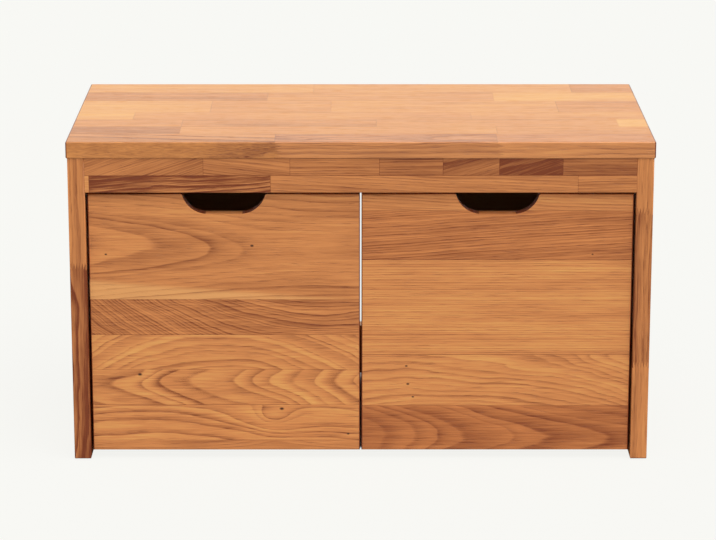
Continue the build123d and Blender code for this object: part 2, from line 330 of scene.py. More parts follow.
# %% Oak finish
LIGHT_OAK = (0.84, 0.432, 0.126, 1.0)
PALE_OAK = (0.70, 0.276, 0.086, 1.0)
DEEP_OAK = (0.20, 0.042, 0.010, 1.0)
RED_CAST = (1.0, 0.90, 0.86, 1.0)
# A yellower colour cast for the seat's oak: painted light, standing in for the stronger light on its top.
PAINTED_TOP_LIGHT_CAST = (1.0, 1.0, 0.40, 1.0)
SAPWOOD = (0.86, 0.43, 0.150, 1.0)
KNOT_BROWN = (0.060, 0.020, 0.009, 1.0)
OIL_IOR = 1.36
RUBBED_IOR = 1.48
SLOW_BEND = 0.036
RIPPLE = 0.0055


def oak_finish(name, knots=(), ior=OIL_IOR, cast=RED_CAST):
    """Oiled oak, with knots of (x, z, dark radius, swell, reach) on a front."""
    oak = Finish(name)
    along, across, up, log = oak.attribute("log_place")
    tone, red, figure, _ = oak.attribute("stave_look")
    curve, glue_across, glue_along, _ = oak.attribute("stave_grain")
    sap, end_grain_and_arris_shade, log_number, _ = oak.attribute("stave_end_and_arris_shade")
    ring_width, contrast, _, _ = oak.attribute("stave_rings")
    log = oak.node("ShaderNodeVectorMath", {"operation": "ADD"}, {0: log, 1: log_number})

    slow = oak.noise(log, (3.2, 11, 11)) - 0.5
    ripple = oak.noise(log, (14, 60, 60)) - 0.5
    radius = (across * across + up * up) ** 0.5 - curve * along * along
    radius = radius + figure * (slow * SLOW_BEND + ripple * RIPPLE)
    core = None
    x, _, z, _ = oak.place()
    for knot_x, knot_z, dark_radius, swell, reach in knots:
        aside, above = (x - knot_x) * 0.65, z - knot_z
        apart = aside * aside + above * above
        radius = radius + swell / (1 + apart / (reach * reach))
        if dark_radius:
            dark = 1 - (apart ** 0.5).rise(dark_radius * 0.4, dark_radius * 1.4)
            core = dark if core is None else core.at_least(dark)

    year = radius / ring_width
    year = year + 1.6 * (oak.line_noise(year * 0.45 + log_number) - 0.5)
    season = year.fraction()
    ring = year - season + log_number
    strength = oak.node("ShaderNodeTexWhiteNoise", {"noise_dimensions": "1D"}, {"W": ring})
    pore_band = season.rise(0.0, 0.06) * (1 - season) ** 2
    line = season.rise(0.0, 0.16) * (1 - season) ** 2.2 * (0.30 + 0.70 * strength)
    band = oak.line_noise(year * 0.45 + 40) - 0.5

    blotch = oak.noise(log, (6, 34, 34)) - 0.5
    streak = oak.noise(log, (9, 300, 300)) - 0.5
    fibre = oak.noise(log, (22, 600, 600), 3.0) - 0.5
    pores = oak.noise(log, (38, 900, 900), 1.0).rise(0.55, 0.70) * (0.4 + pore_band)
    glue = 1 - glue_across.at_most(glue_along).rise(0.0002, 0.0011)
    depth = tone + contrast * (line * 1.35 + band * 1.0) + blotch * 0.65 + streak * 0.5
    depth = depth + fibre * (0.3 + 0.9 * contrast) + pores * (0.05 + 0.4 * contrast)
    # The end term is partly real end grain on end faces and partly painted shade on the rounded arrises.
    depth = depth + glue * 0.45 + end_grain_and_arris_shade - 0.24

    colour = oak.blend(depth.at_least(0.0).at_most(1.0), PALE_OAK, DEEP_OAK)
    colour = oak.blend((depth * -1.6).at_least(0.0).at_most(1.0), colour, LIGHT_OAK)
    colour = oak.blend(red, colour, cast, "MULTIPLY")
    colour = oak.blend(sap.rise(-0.003, 0.008) * 0.7 * (1 - line), colour, SAPWOOD)
    if core is not None:
        colour = oak.blend(core, colour, KNOT_BROWN)
    relief = fibre * 0.5 - pores - line * 0.3 - glue * 0.6
    rough = 0.32 + pores * 0.25 + fibre * 0.12
    return oak.surface(relief, 0.00025, base_color=colour, roughness=rough, ior=ior)


OILED_OAK = oak_finish("oiled_oak")
print("oak:", len(OILED_OAK.node_tree.nodes), "nodes")

# %% [markdown]
# ## Staves
#
# The panels are glued up from strips, and most strips are themselves made of shorter staves joined end to
# end. Each stave comes from its own log, so it has its own tone and its own cut. A stave is written here as
# those choices: a straight one was cut far from the heart, and a flame was cut flat over it. The ones that
# show in the photograph are given one by one, and the rest are drawn at random from fixed seeds.

# %% Stave choices
@dataclass
class Stave:
    tone: float = 0.3
    end: float = 1.0
    red: float = 0.25
    figure: float = 0.3
    curve: float = 0.0
    crest: float = 0.5
    heart: float = 0.0
    under: float = 0.03
    tilt: float = 0.0
    sap: tuple = ()
    ring: float = 0.0042
    contrast: float = 0.45


STRAIGHT = Stave(heart=0.13, under=0.05)
FLAME = Stave(figure=0.7, curve=0.11, ring=0.0075, contrast=0.65)


def straight(tone, end=1.0, **choices):
    """A stave with straight grain, up to a share of its row's length."""
    return replace(STRAIGHT, tone=tone, end=end, **choices)


def calm(tone, end=1.0, **choices):
    """A stave with faint straight grain, up to a share of its row's length."""
    return straight(tone, end, contrast=0.36, **choices)


def flame(tone, end=1.0, **choices):
    """A stave with flamed grain, up to a share of its row's length."""
    return replace(FLAME, tone=tone, end=end, **choices)


DRAWN_TONES = (0.15, 0.22, 0.28, 0.34, 0.42, 0.52)
DRAWN_LENGTH = 0.30


def drawn_rows(seed, width, length, rows, shift=0.0):
    """Rows of staves drawn at random, for a panel that the photograph doesn't show."""
    draw = random.Random(seed)
    made = []
    for _ in range(rows):
        staves = []
        place = draw.uniform(0.3, 1.0) * DRAWN_LENGTH
        while True:
            kind = straight if draw.random() < 0.6 else flame
            stave = kind(
                draw.choice(DRAWN_TONES) + shift,
                min(1.0, place / length),
                red=draw.uniform(0.1, 0.6),
                figure=draw.uniform(0.25, 0.9),
                crest=draw.uniform(0.1, 0.9),
                tilt=draw.uniform(-0.05, 0.05),
            )
            staves.append(stave)
            if place >= length:
                break
            place += draw.uniform(0.5, 1.2) * DRAWN_LENGTH
        made.append((width / rows, staves))
    return made


print("stave kinds: straight, calm, flame and drawn")

# %% [markdown]
# ## Cutting a panel into its staves
#
# A panel starts as a closed block with eased edges. Planes then cut its faces along every glue line, which
# leaves the surface where it is but gives each stave its own faces. On a panel's narrow edges the staves
# meet in finger joints, so there the cut zigzags across the thickness in teeth about four millimetres wide.
# Each corner of each face then gets its place in the log, and the oak finish does the rest.

# %% Panel helpers
TEETH = 6
TOOTH_LENGTH = 0.011
FAR = 1.0
PANEL_DEPTH = 0.026
EASE_STEPS = 4
END_DEPTH = 0.4
# Rounded arrises at stave ends are darkened fully towards deep oak: painted shade for the shadowed rounds
# beside the gaps.
ARRIS_PAINTED_SHADE = 1.2
CAM_BORE = 0.00755
CAM_BORE_DEPTH = 0.018
cam_places = []


def eased_block(node, eased, radius):
    """A node's box as a closed mesh, with the chosen edges rounded."""
    low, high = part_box(node)
    block = bmesh.new()
    bmesh.ops.create_cube(block, size=1.0)
    for vert in block.verts:
        vert.co = [(a + b) / 2 + c * (b - a) for a, b, c in zip(low, high, vert.co)]
    chosen = [edge for edge in block.edges if eased(edge, low, high)]
    round_edges(block, chosen, radius)
    return block


def round_edges(block, edges, radius):
    made = bmesh.ops.bevel(
        block,
        geom=edges,
        offset=radius,
        offset_type="OFFSET",
        segments=EASE_STEPS,
        profile=0.5,
        affect="EDGES",
    )
    for face in made["faces"]:
        face.smooth = True


def plain_mesh(piece):
    """An object's mesh with its modifiers applied, and the object removed."""
    made = bpy.data.meshes.new_from_object(piece.evaluated_get(bpy.context.evaluated_depsgraph_get()))
    bpy.data.objects.remove(piece)
    return made


def workpiece(name, block):
    """A mesh under work as an object of its own."""
    mesh = bpy.data.meshes.new(name)
    block.to_mesh(mesh)
    block.free()
    piece = bpy.data.objects.new(name, mesh)
    scene.collection.objects.link(piece)
    return piece


def bored(block, cams):
    """The block with a blind bore for each cam lock, given by place and facing."""
    bits = bmesh.new()
    for place, facing in cams:
        turn = facing.to_track_quat("Z", "Y").to_matrix().to_4x4()
        bmesh.ops.create_cone(
            bits,
            cap_ends=True,
            segments=32,
            radius1=CAM_BORE,
            radius2=CAM_BORE,
            depth=2 * CAM_BORE_DEPTH,
            matrix=Matrix.Translation(place) @ turn,
        )
    bit = workpiece("bits", bits)
    panel = workpiece("panel", block)
    drill = panel.modifiers.new("drill", "BOOLEAN")
    drill.operation, drill.solver, drill.object = "DIFFERENCE", "EXACT", bit
    drilled = bmesh.new()
    drilled.from_mesh(plain_mesh(panel))
    bpy.data.objects.remove(bit)
    return drilled


def cut(block, faces, point, normal):
    """Cuts the faces along a plane and leaves the surface where it is."""
    chosen = set(faces)
    for face in faces:
        chosen.update(face.edges)
        chosen.update(face.verts)
    bmesh.ops.bisect_plane(block, geom=list(chosen), plane_co=point, plane_no=normal, dist=1e-6)


class Layout:
    """Where the staves of a panel lie: rows across it, and staves along each row."""

    def __init__(self, node, along, across, rows, face):
        self.low, self.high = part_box(node)
        self.along, self.across = along, across
        self.through = 3 - along - across
        self.face = face
        total = sum(width for width, _ in rows)
        scale = (self.high[across] - self.low[across]) / total
        top = self.high[across]
        self.rows = []
        for width, staves in rows:
            bottom = top - width * scale
            self.rows.append((bottom, top, staves))
            top = bottom
        self.length = self.high[along] - self.low[along]

    def row_of(self, centre):
        for number, (bottom, _, _) in enumerate(self.rows):
            if centre[self.across] > bottom:
                return number
        return len(self.rows) - 1

    def joint(self, stave):
        return self.low[self.along] + stave.end * self.length

    def zigzag(self, place):
        """How far a finger joint has moved along at a place in the thickness."""
        share = (place[self.through] - self.low[self.through]) / (
            self.high[self.through] - self.low[self.through]
        )
        tooth = min(max(share, 0.0), 1.0) * TEETH
        return TOOTH_LENGTH * (0.5 - abs(2 * (tooth - math.floor(tooth)) - 1))

    def is_edge(self, normal):
        return abs(normal[self.across]) > 0.99

    def stave_of(self, centre, normal):
        """The row and the number in it of the stave at a face."""
        row = self.row_of(centre)
        staves = self.rows[row][2]
        offset = self.zigzag(centre) if self.is_edge(normal) else -TOOTH_LENGTH / 2
        for number, stave in enumerate(staves[:-1]):
            if centre[self.along] < self.joint(stave) + offset:
                return row, number
        return row, len(staves) - 1


def unit(axis):
    return Vector([1.0 if number == axis else 0.0 for number in range(3)])


def cut_staves(block, layout):
    """Cuts a block's faces along every glue line and finger joint."""
    along, across, through = unit(layout.along), unit(layout.across), unit(layout.through)
    for bottom, _, _ in layout.rows[:-1]:
        cut(block, list(block.faces), across * bottom, across)
    for row, (_, _, staves) in enumerate(layout.rows):
        for stave in staves[:-1]:
            joint = layout.joint(stave)
            in_row = [f for f in block.faces if layout.row_of(f.calc_center_median()) == row]
            flats = [f for f in in_row if not layout.is_edge(f.normal)]
            cut(block, flats, along * (joint - TOOTH_LENGTH / 2), along)
            cut_fingers(block, layout, row, joint, along, through)


def cut_fingers(block, layout, row, joint, along, through):
    """Cuts one finger joint into the narrow edges of a row."""
    reach = TOOTH_LENGTH / 2

    def edge_faces():
        block.normal_update()
        found = [f for f in block.faces if layout.is_edge(f.normal)]
        return [f for f in found if layout.row_of(f.calc_center_median()) == row]

    def band():
        centres = [(f, f.calc_center_median()[layout.along]) for f in edge_faces()]
        return [f for f, place in centres if abs(place - joint) < reach]

    for side in (-reach, reach):
        cut(block, edge_faces(), along * (joint + side), along)
    low, high = layout.low[layout.through], layout.high[layout.through]
    steps = [low + (high - low) * step / (2 * TEETH) for step in range(2 * TEETH + 1)]
    for place in steps[1:-1]:
        cut(block, band(), through * place, through)
    for number, (start, end) in enumerate(zip(steps, steps[1:])):
        slant = 1 if number % 2 == 0 else -1
        middle = (start + end) / 2
        strip = [f for f in band() if start < f.calc_center_median()[layout.through] < end]
        line = along * (slant * 2 * reach) + through * (end - start)
        normal = along.cross(through).cross(line).normalized()
        cut(block, strip, along * joint + through * middle, normal)


def mark_staves(mesh, layout, seed):
    """Stores on each corner its place in its stave's log, and its stave's look."""
    names = ("log_place", "stave_look", "stave_grain", "stave_end_and_arris_shade", "stave_rings")
    stored = {name: [] for name in names}
    along, across, through = layout.along, layout.across, layout.through
    logs = random.Random(seed)
    log_numbers = [[logs.uniform(1, 60) for _ in staves] for _, _, staves in layout.rows]
    for face in mesh.polygons:
        row, number = layout.stave_of(face.center, face.normal)
        bottom, top, staves = layout.rows[row]
        stave = staves[number]
        edge = layout.is_edge(face.normal)
        start = layout.low[along] if number == 0 else layout.joint(staves[number - 1])
        length = layout.joint(stave) - start
        end_grain_and_arris_shade = abs(face.normal[along])
        # True end faces darken as real end grain; the rounded arrises get a painted shade.
        end_grain_and_arris_shade = END_DEPTH * end_grain_and_arris_shade if end_grain_and_arris_shade < 0.1 or end_grain_and_arris_shade > 0.99 else ARRIS_PAINTED_SHADE
        for loop in face.loop_indices:
            place = mesh.vertices[mesh.loops[loop].vertex_index].co
            run = place[along] - start - stave.crest * length
            aside = place[across] - (bottom + top) / 2 - stave.heart + stave.tilt * run
            rise = stave.under + PANEL_DEPTH - abs(place[through] - layout.face)
            stored["log_place"] += [run, aside, rise]
            stored["stave_look"] += [stave.tone, stave.red, stave.figure]
            joint = start + (layout.zigzag(place) if edge else -TOOTH_LENGTH / 2)
            apart = FAR if number == 0 else place[along] - joint
            below = FAR if row == len(layout.rows) - 1 else place[across] - bottom
            stored["stave_grain"] += [stave.curve, below, apart]
            sap = -FAR
            if stave.sap:
                share = (place[along] - start) / length
                line = stave.sap[0] + (stave.sap[1] - stave.sap[0]) * share
                sap = top - place[across] - line * (top - bottom)
            stored["stave_end_and_arris_shade"] += [sap, end_grain_and_arris_shade, log_numbers[row][number]]
            stored["stave_rings"] += [stave.ring, stave.contrast, 0.0]
    for name, values in stored.items():
        mesh.attributes.new(name, "FLOAT_VECTOR", "CORNER").data.foreach_set("vector", values)


def oak_panel(node, body, block, layout, finish=OILED_OAK):
    """Cuts and marks a block, and puts it in its node's place."""
    cut_staves(block, layout)
    bmesh.ops.recalc_face_normals(block, faces=list(block.faces))
    mesh = bpy.data.meshes.new(node + "_oak")
    block.to_mesh(mesh)
    block.free()
    mark_staves(mesh, layout, node)
    mesh.materials.append(finish)
    piece = bpy.data.objects.new(node + "_oak", mesh)
    scene.collection.objects.link(piece)
    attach(piece, body)
    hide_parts(node)
    print(piece.name, len(mesh.polygons), "faces,", sum(len(s) for _, _, s in layout.rows), "staves")
    return piece


X, Y, Z = 0, 1, 2

# %% [markdown]
# ## The seat
#
# The seat is seven strips wide, and its staves run from left to right. It overhangs the sides by two
# millimetres and every edge is eased. Rows are written from the back to the front, and each stave ends at
# a share of the seat's width.

# %% Seat
SEAT_ROUND = 0.002
SEAT_ROWS = [
    (72, [calm(-0.06, 0.42), calm(0.00, 0.893), calm(0.26)]),
    (68, [calm(0.34, 0.337), calm(0.12, 0.747), calm(-0.22)]),
    (90, [calm(-0.08, 0.239), calm(0.16, 0.453), calm(0.03, 0.857), calm(0.20)]),
    (54, [calm(-0.16, 0.107), calm(0.12, 0.70), calm(0.06)]),
    (54, [calm(0.15, 0.195), calm(0.28, 0.533), calm(0.12, 0.953), calm(-0.36)]),
    (54, [calm(0.50, 0.195), calm(0.10, 0.74), calm(0.10)]),
    (58, [
        straight(0.29, 0.36, red=0.3, heart=0.140, tilt=0.12, ring=0.035, contrast=0.6),
        flame(0.42, 0.737, red=0.0, figure=1.0, contrast=0.45, ring=0.005),
        straight(0.26, red=0.0),
    ]),
]
seat_layout = Layout("seat_top", X, Y, SEAT_ROWS, cad_high.z)
seat_block = eased_block("seat_top", lambda edge, low, high: True, SEAT_ROUND)
# The seat takes a lit copy of the oak: its yellower cast is painted light for the brighter top, not a
# different wood.
seat_oak = oak_finish("seat_oak", ior=RUBBED_IOR, cast=PAINTED_TOP_LIGHT_CAST)
oak_panel("seat_top", "carcass", seat_block, seat_layout, seat_oak)

# %% [markdown]
# ## The sides
#
# Each side is a panel with upright staves. Its upright and lower edges are eased, and its upper end is
# square against the seat. The front strips show in the photograph, each with a finger joint or two.

# %% Sides
PANEL_ROUND = 0.0015
SIDE_STRIPS = 7
SEAT_CAM_HEIGHT = 0.450
SEAT_CAM_DEPTHS = (-0.150, 0.150)
SIDE_FRONT_STRIPS = {
    "left_side": [flame(0.86, 0.645, red=0.4, figure=1.3, contrast=0.8), straight(0.42)],
    "right_side": [straight(0.28, 0.32), flame(0.62, 0.826), straight(0.38)],
}


def upright_or_lower(edge, low, high):
    start, end = (vert.co for vert in edge.verts)
    upright = abs(end.z - start.z) > 0.01
    lower = max(start.z, end.z) < low.z + 0.001
    return upright or lower


for node, front_strip in SIDE_FRONT_STRIPS.items():
    low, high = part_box(node)
    rows = drawn_rows(node, high.y - low.y, high.z - low.z, SIDE_STRIPS)
    rows[-1] = (rows[-1][0], front_strip)
    outside, inside, inwards = (low.x, high.x, 1) if node == "left_side" else (high.x, low.x, -1)
    layout = Layout(node, Z, Y, rows, outside)
    cams = [(Vector((inside, y, SEAT_CAM_HEIGHT)), Vector((inwards, 0, 0))) for y in SEAT_CAM_DEPTHS]
    cam_places += cams
    block = bored(eased_block(node, upright_or_lower, PANEL_ROUND), cams)
    oak_panel(node, "carcass", block, layout)

# %% [markdown]
# ## The rails
#
# A rail under the front of the seat, one under its back and a low one behind the drawers hold the sides
# square. The upper two are two strips high and the low one three. The front one shows most of its joints in
# the photograph, and a dark streaked stave at its lower left. The low one shows through the gap between the
# drawers, and its staves are shifted paler: painted light on a face that lies mostly in shade.

# %% Rails
FRONT_RAIL_ROWS = [
    (27, [
        straight(0.53, 0.221, tilt=-0.35),
        straight(0.55, 0.378, tilt=0.12),
        straight(0.50, 0.54),
        straight(0.74, 0.655),
        straight(0.83, 0.757, tilt=-0.3, ring=0.02, contrast=0.5, figure=1.8),
        straight(1.12, 0.872, tilt=-0.35, ring=0.018, contrast=0.9, figure=1.8),
        straight(0.86),
    ]),
    (27, [
        straight(0.05, 0.014),
        straight(0.80, 0.343, figure=1.2, tilt=-0.07, contrast=1.5, ring=0.0085),
        straight(0.46, 0.90, tilt=0.05),
        straight(0.46),
    ]),
]
# The low rail's tone shift of -0.30 is painted light: it lifts a face that the drawers leave in shade.
RAIL_SHIFTS = {"front_rail": 0.0, "rear_top_rail": 0.0, "rear_stretcher": -0.30}
RAIL_STRIP = 0.027
RAIL_CAM_REACH = (-0.388, 0.388)
RAIL_CAM_RISE = 0.013


def lower_long(edge, low, high):
    start, end = (vert.co for vert in edge.verts)
    return abs(end.x - start.x) > 0.01 and max(start.z, end.z) < low.z + 0.001


for node, shift in RAIL_SHIFTS.items():
    low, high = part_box(node)
    strips = round((high.z - low.z) / RAIL_STRIP)
    rows = drawn_rows(node, high.z - low.z, high.x - low.x, strips, shift)
    if node == "front_rail":
        rows = FRONT_RAIL_ROWS
    outside, inside, inwards = (low.y, high.y, 1) if node == "front_rail" else (high.y, low.y, -1)
    layout = Layout(node, X, Z, rows, outside)
    height = (low.z + high.z) / 2 + RAIL_CAM_RISE
    cams = [(Vector((x, inside, height)), Vector((0, inwards, 0))) for x in RAIL_CAM_REACH]
    cam_places += cams
    block = bored(eased_block(node, lower_long, PANEL_ROUND), cams)
    oak_panel(node, "carcass", block, layout)

# %% [markdown]
# ## The drawer fronts
#
# Each front is a wide panel of boards that run its whole width, with a hand notch cut down from its upper
# edge: a flat between two arcs, with small rounds where they meet the edge. The outline is drawn from those
# arcs and given its thickness, and then both rims are eased.

# %% Drawer fronts
FRONT_ROUND = 0.0015
NOTCH_FLAT = 0.050
NOTCH_RADIUS = 0.040
NOTCH_DEPTH = 0.031
NOTCH_CORNER = 0.003
ARC_STEPS = 16
FRONT_ROWS = {
    "left": [
        (167.1, [flame(0.32, contrast=0.48, figure=0.6, crest=1.175, under=0.02, sap=(0.81, 1.0))]),
        (57.2, [straight(0.45, red=0.4, figure=1.0, curve=-0.9, crest=0.9, contrast=0.7)]),
        (56.3, [straight(0.07, figure=1.4, curve=1.3, ring=0.011, contrast=0.7)]),
        (57.5, [
            flame(0.09, figure=1.3, curve=0.7, crest=-0.5, heart=0.01, under=-0.02, ring=0.024, contrast=0.9),
        ]),
        (58.3, [straight(0.08, figure=1.3, curve=-0.3, crest=0.2, heart=-0.13, ring=0.015, contrast=0.75)]),
        (15.6, [straight(0.36)]),
    ],
    "right": [
        (26.4, [straight(0.22, tilt=0.04)]),
        (77.8, [straight(0.47, red=0.7, figure=0.4, tilt=-0.06, ring=0.0036, contrast=0.6)]),
        (152.3, [straight(0.10, figure=0.15, ring=0.003, contrast=0.5)]),
        (82.8, [straight(0.12, figure=1.0, curve=0.5, crest=0.3, heart=0.08, ring=0.007, contrast=0.6)]),
        (72.7, [
            flame(0.59, red=0.9, curve=0.25, crest=1.4, heart=-0.018, under=0.02, ring=0.010, contrast=0.42),
        ]),
    ],
}
FRONT_KNOTS = {
    "left": [
        (0.602, 0.198, 0.0018, 0.003, 0.010),
        (0.063, 0.231, 0.0013, 0.002, 0.008),
        (0.180, 0.700, 0.0022, 0.008, 0.016),
        (0.675, 0.872, 0.0, 0.045, 0.024),
        (0.708, 0.836, 0.0022, 0.004, 0.010),
        (0.956, 0.936, 0.0014, 0.002, 0.008),
    ],
    "right": [
        (0.167, 0.667, 0.0014, 0.002, 0.008),
        (0.173, 0.738, 0.0016, 0.003, 0.010),
        (0.192, 0.789, 0.0013, 0.002, 0.008),
        (0.852, 0.231, 0.0011, 0.002, 0.008),
    ],
}


def arc(centre, radius, start, end):
    """Points on an arc, with its angles in radians."""
    angles = [start + (end - start) * step / ARC_STEPS for step in range(ARC_STEPS + 1)]
    return [(centre[0] + radius * math.cos(a), centre[1] + radius * math.sin(a)) for a in angles]


def front_outline(low, high):
    """A front's outline, anticlockwise from its lower left corner as seen from the front."""
    middle, top = (low.x + high.x) / 2, high.z
    arc_height = top - NOTCH_DEPTH + NOTCH_RADIUS
    reach = NOTCH_RADIUS + NOTCH_CORNER
    drop = arc_height - (top - NOTCH_CORNER)
    aside = math.sqrt(reach * reach - drop * drop)
    lean = math.atan2(drop, aside)
    corner = (middle + NOTCH_FLAT / 2 + aside, top - NOTCH_CORNER)
    right = arc(corner, NOTCH_CORNER, math.pi / 2, math.pi - lean)
    right += arc((middle + NOTCH_FLAT / 2, arc_height), NOTCH_RADIUS, -lean, -math.pi / 2)[1:]
    left = [(2 * middle - x, z) for x, z in reversed(right)]
    return [(low.x, low.z), (high.x, low.z), (high.x, top), *right, *left, (low.x, top)]


def notched_block(node):
    """A drawer front as a closed mesh with eased rims."""
    low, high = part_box(node)
    outline = front_outline(low, high)
    block = bmesh.new()
    near = [block.verts.new((x, low.y, z)) for x, z in outline]
    far = [block.verts.new((x, high.y, z)) for x, z in outline]
    faces = [block.faces.new(near), block.faces.new(list(reversed(far)))]
    for number in range(len(outline)):
        after = (number + 1) % len(outline)
        block.faces.new((near[after], near[number], far[number], far[after]))
    rims = {edge for face in faces for edge in face.edges}
    round_edges(block, list(rims), FRONT_ROUND)
    return block


for side, rows in FRONT_ROWS.items():
    node = side + "_drawer_front"
    low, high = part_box(node)
    layout = Layout(node, X, Z, rows, low.y)
    knots = [
        (low.x + u * (high.x - low.x), high.z - v * (high.z - low.z), *rest)
        for u, v, *rest in FRONT_KNOTS[side]
    ]
    finish = oak_finish(side + "_front_oak", knots)
    oak_panel(node, side + "_drawer", notched_block(node), layout, finish)

# %% [markdown]
# ## Birch plywood
#
# The drawer boxes are plywood: nine thin veneers of birch with the grain of each across the next. The CAD
# panels already have the right shape and screw holes, so they only need a finish. It counts veneers by depth
# in the panel: the outer ones make the pale faces, and the ones between show as stripes on cut edges.

# %% Plywood finish
VENEERS = 9
BIRCH_FACE = (0.74, 0.53, 0.31, 1.0)
BIRCH_STREAK = (0.60, 0.38, 0.19, 1.0)
BIRCH_LONG = (0.66, 0.45, 0.25, 1.0)
BIRCH_ENDS = (0.40, 0.24, 0.12, 1.0)


def plywood_finish(node, through, along):
    """Birch plywood for one panel, by its thin axis and the axis of its face grain."""
    low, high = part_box(node)
    ply = Finish(node + "_birch")
    *parts, place = ply.place()
    depth = (parts[through] - low[through]) / (high[through] - low[through])
    layer = depth * VENEERS + 0.25 * (ply.noise(place, (40, 40, 40)) - 0.5)
    within = layer.fraction()
    crossed = ((layer - within) / 2).fraction() * 2
    glue = (1 - within.rise(0.0, 0.12)) + within.rise(0.88, 1.0)
    edge = depth.rise(0.004, 0.012) * (1 - depth.rise(0.988, 0.996))

    stretch = [34.0, 34.0, 34.0]
    stretch[along] = 2.5
    flow = ply.noise(place, tuple(stretch), 3.0)
    rings = ((flow * 16).fraction() - 0.5).math("ABSOLUTE", (flow * 16).fraction() - 0.5) * 2
    fine = [900.0, 900.0, 900.0]
    fine[along] = 30.0
    fibre = ply.noise(place, tuple(fine)) - 0.5
    cloud = ply.noise(place, (7, 7, 7)) - 0.5

    face_share = (0.30 * rings ** 3 + fibre * 0.9 + cloud * 0.8 + 0.12).at_least(0.0).at_most(1.0)
    face_colour = ply.blend(face_share, BIRCH_FACE, BIRCH_STREAK)
    edge_colour = ply.blend(crossed, BIRCH_LONG, BIRCH_ENDS)
    edge_colour = ply.blend(glue * 0.5, edge_colour, BIRCH_ENDS)
    colour = ply.blend(edge, face_colour, edge_colour)
    rough = 0.52 + fibre * 0.2 + edge * 0.15
    return ply.surface(fibre - edge * crossed * 0.8, 0.00012, base_color=colour, roughness=rough)


BOX_PANELS = {"left_side": (X, Y), "right_side": (X, Y), "back": (Y, X), "bottom": (Z, X)}
for side in FRONT_ROWS:
    for panel, (through, along) in BOX_PANELS.items():
        node = f"{side}_drawer_{panel}"
        frame["nodes"][node].material_slots[0].material = plywood_finish(node, through, along)
print("plywood:", len(FRONT_ROWS) * len(BOX_PANELS), "panels of", VENEERS, "veneers")

# %% [markdown]
# ## Zinc, nylon, rubber, felt and beech
#
# The castors have zinc-plated forks, grey nylon hubs and soft dark tyres. Brown plastic glides stand under
# the sides, felt pads stop the drawers, and beech dowels are hidden in the joints. None of these has a
# pattern that follows its shape, so each finish is a few noises: cloudy plating, flow marks in the moulding,
# dust on the rubber and loose fibres in the felt.

# %% Small finishes
def clouded(name, dark, light, wave, spread, bump_wave, bump_height, roughness, metallic=0.0):
    """A finish that clouds between two colours, with a fine grit."""
    finish = Finish(name)
    *_, place = finish.place()
    cloud = finish.noise(place, (wave, wave, wave), 3.0) - 0.5
    grit = finish.noise(place, (bump_wave, bump_wave, bump_wave), 3.0) - 0.5
    share = (0.5 + spread * cloud + 0.5 * grit).at_least(0.0).at_most(1.0)
    colour = finish.blend(share, (*dark, 1.0), (*light, 1.0))
    rough = roughness + cloud * 0.25 + grit * 0.25
    return finish.surface(grit, bump_height, base_color=colour, roughness=rough, metallic=metallic)


ZINC_STEEL = clouded("zinc_steel", (0.46, 0.47, 0.50), (0.72, 0.73, 0.75), 70, 2.4, 1400, 0.00004, 0.30, 1.0)
ZINC_CAST = clouded("zinc_cast", (0.36, 0.37, 0.39), (0.64, 0.65, 0.67), 260, 2.0, 1100, 0.00012, 0.46, 1.0)
HUB_NYLON = clouded("hub_nylon", (0.46, 0.46, 0.44), (0.62, 0.62, 0.60), 90, 1.6, 1800, 0.00003, 0.42)
TYRE_RUBBER = clouded("tyre_rubber", (0.026, 0.026, 0.029), (0.095, 0.092, 0.088), 120, 2.2, 900, 8e-5, 0.68)
GLIDE_PLASTIC = clouded("glide_plastic", (0.12, 0.072, 0.042), (0.20, 0.13, 0.08), 80, 1.5, 1500, 4e-5, 0.5)
FELT = clouded("felt", (0.10, 0.09, 0.08), (0.32, 0.29, 0.26), 600, 1.8, 2600, 0.0003, 0.95)


def beech_finish():
    """Plain beech, with the short dark flecks that beech shows."""
    beech = Finish("beech")
    *_, place = beech.place()
    grain = beech.noise(place, (500, 40, 500)) - 0.5
    fleck = beech.noise(place, (900, 220, 900), 1.0).rise(0.60, 0.68)
    share = (0.3 + grain * 1.2 + fleck * 0.5).at_least(0.0).at_most(1.0)
    colour = beech.blend(share, (0.74, 0.50, 0.29, 1.0), (0.44, 0.25, 0.12, 1.0))
    return beech.surface(grain - fleck, 0.0001, base_color=colour, roughness=0.6 + grain * 0.2)


SMALL_FINISHES = {
    "castor_forks": ZINC_STEEL,
    "castor_axles": ZINC_STEEL,
    "cam_bolts": ZINC_STEEL,
    "hub": HUB_NYLON,
    "tyre": TYRE_RUBBER,
    "floor_glides": GLIDE_PLASTIC,
    "drawer_bumpers": FELT,
    "dowels": beech_finish(),
}
finished = 0
for name, node in frame["nodes"].items():
    for ending, finish in SMALL_FINISHES.items():
        if name.endswith(ending):
            node.material_slots[0].material = finish
            finished += 1
print("small finishes on", finished, "nodes")

# %% [markdown]
# ## Screws and cam locks
#
# Ten cam locks grip the bolts of the carcass, and each drawer has fourteen countersunk screws and sixteen
# pan-head ones. All are turned shapes with a cross recess, so one Geometry Nodes tree makes every kind: a
# circle is swept down a line whose radius changes at five steps, two bars are cut from its face, and a copy
# goes to each place, facing out and turned at random as a screwdriver leaves it.

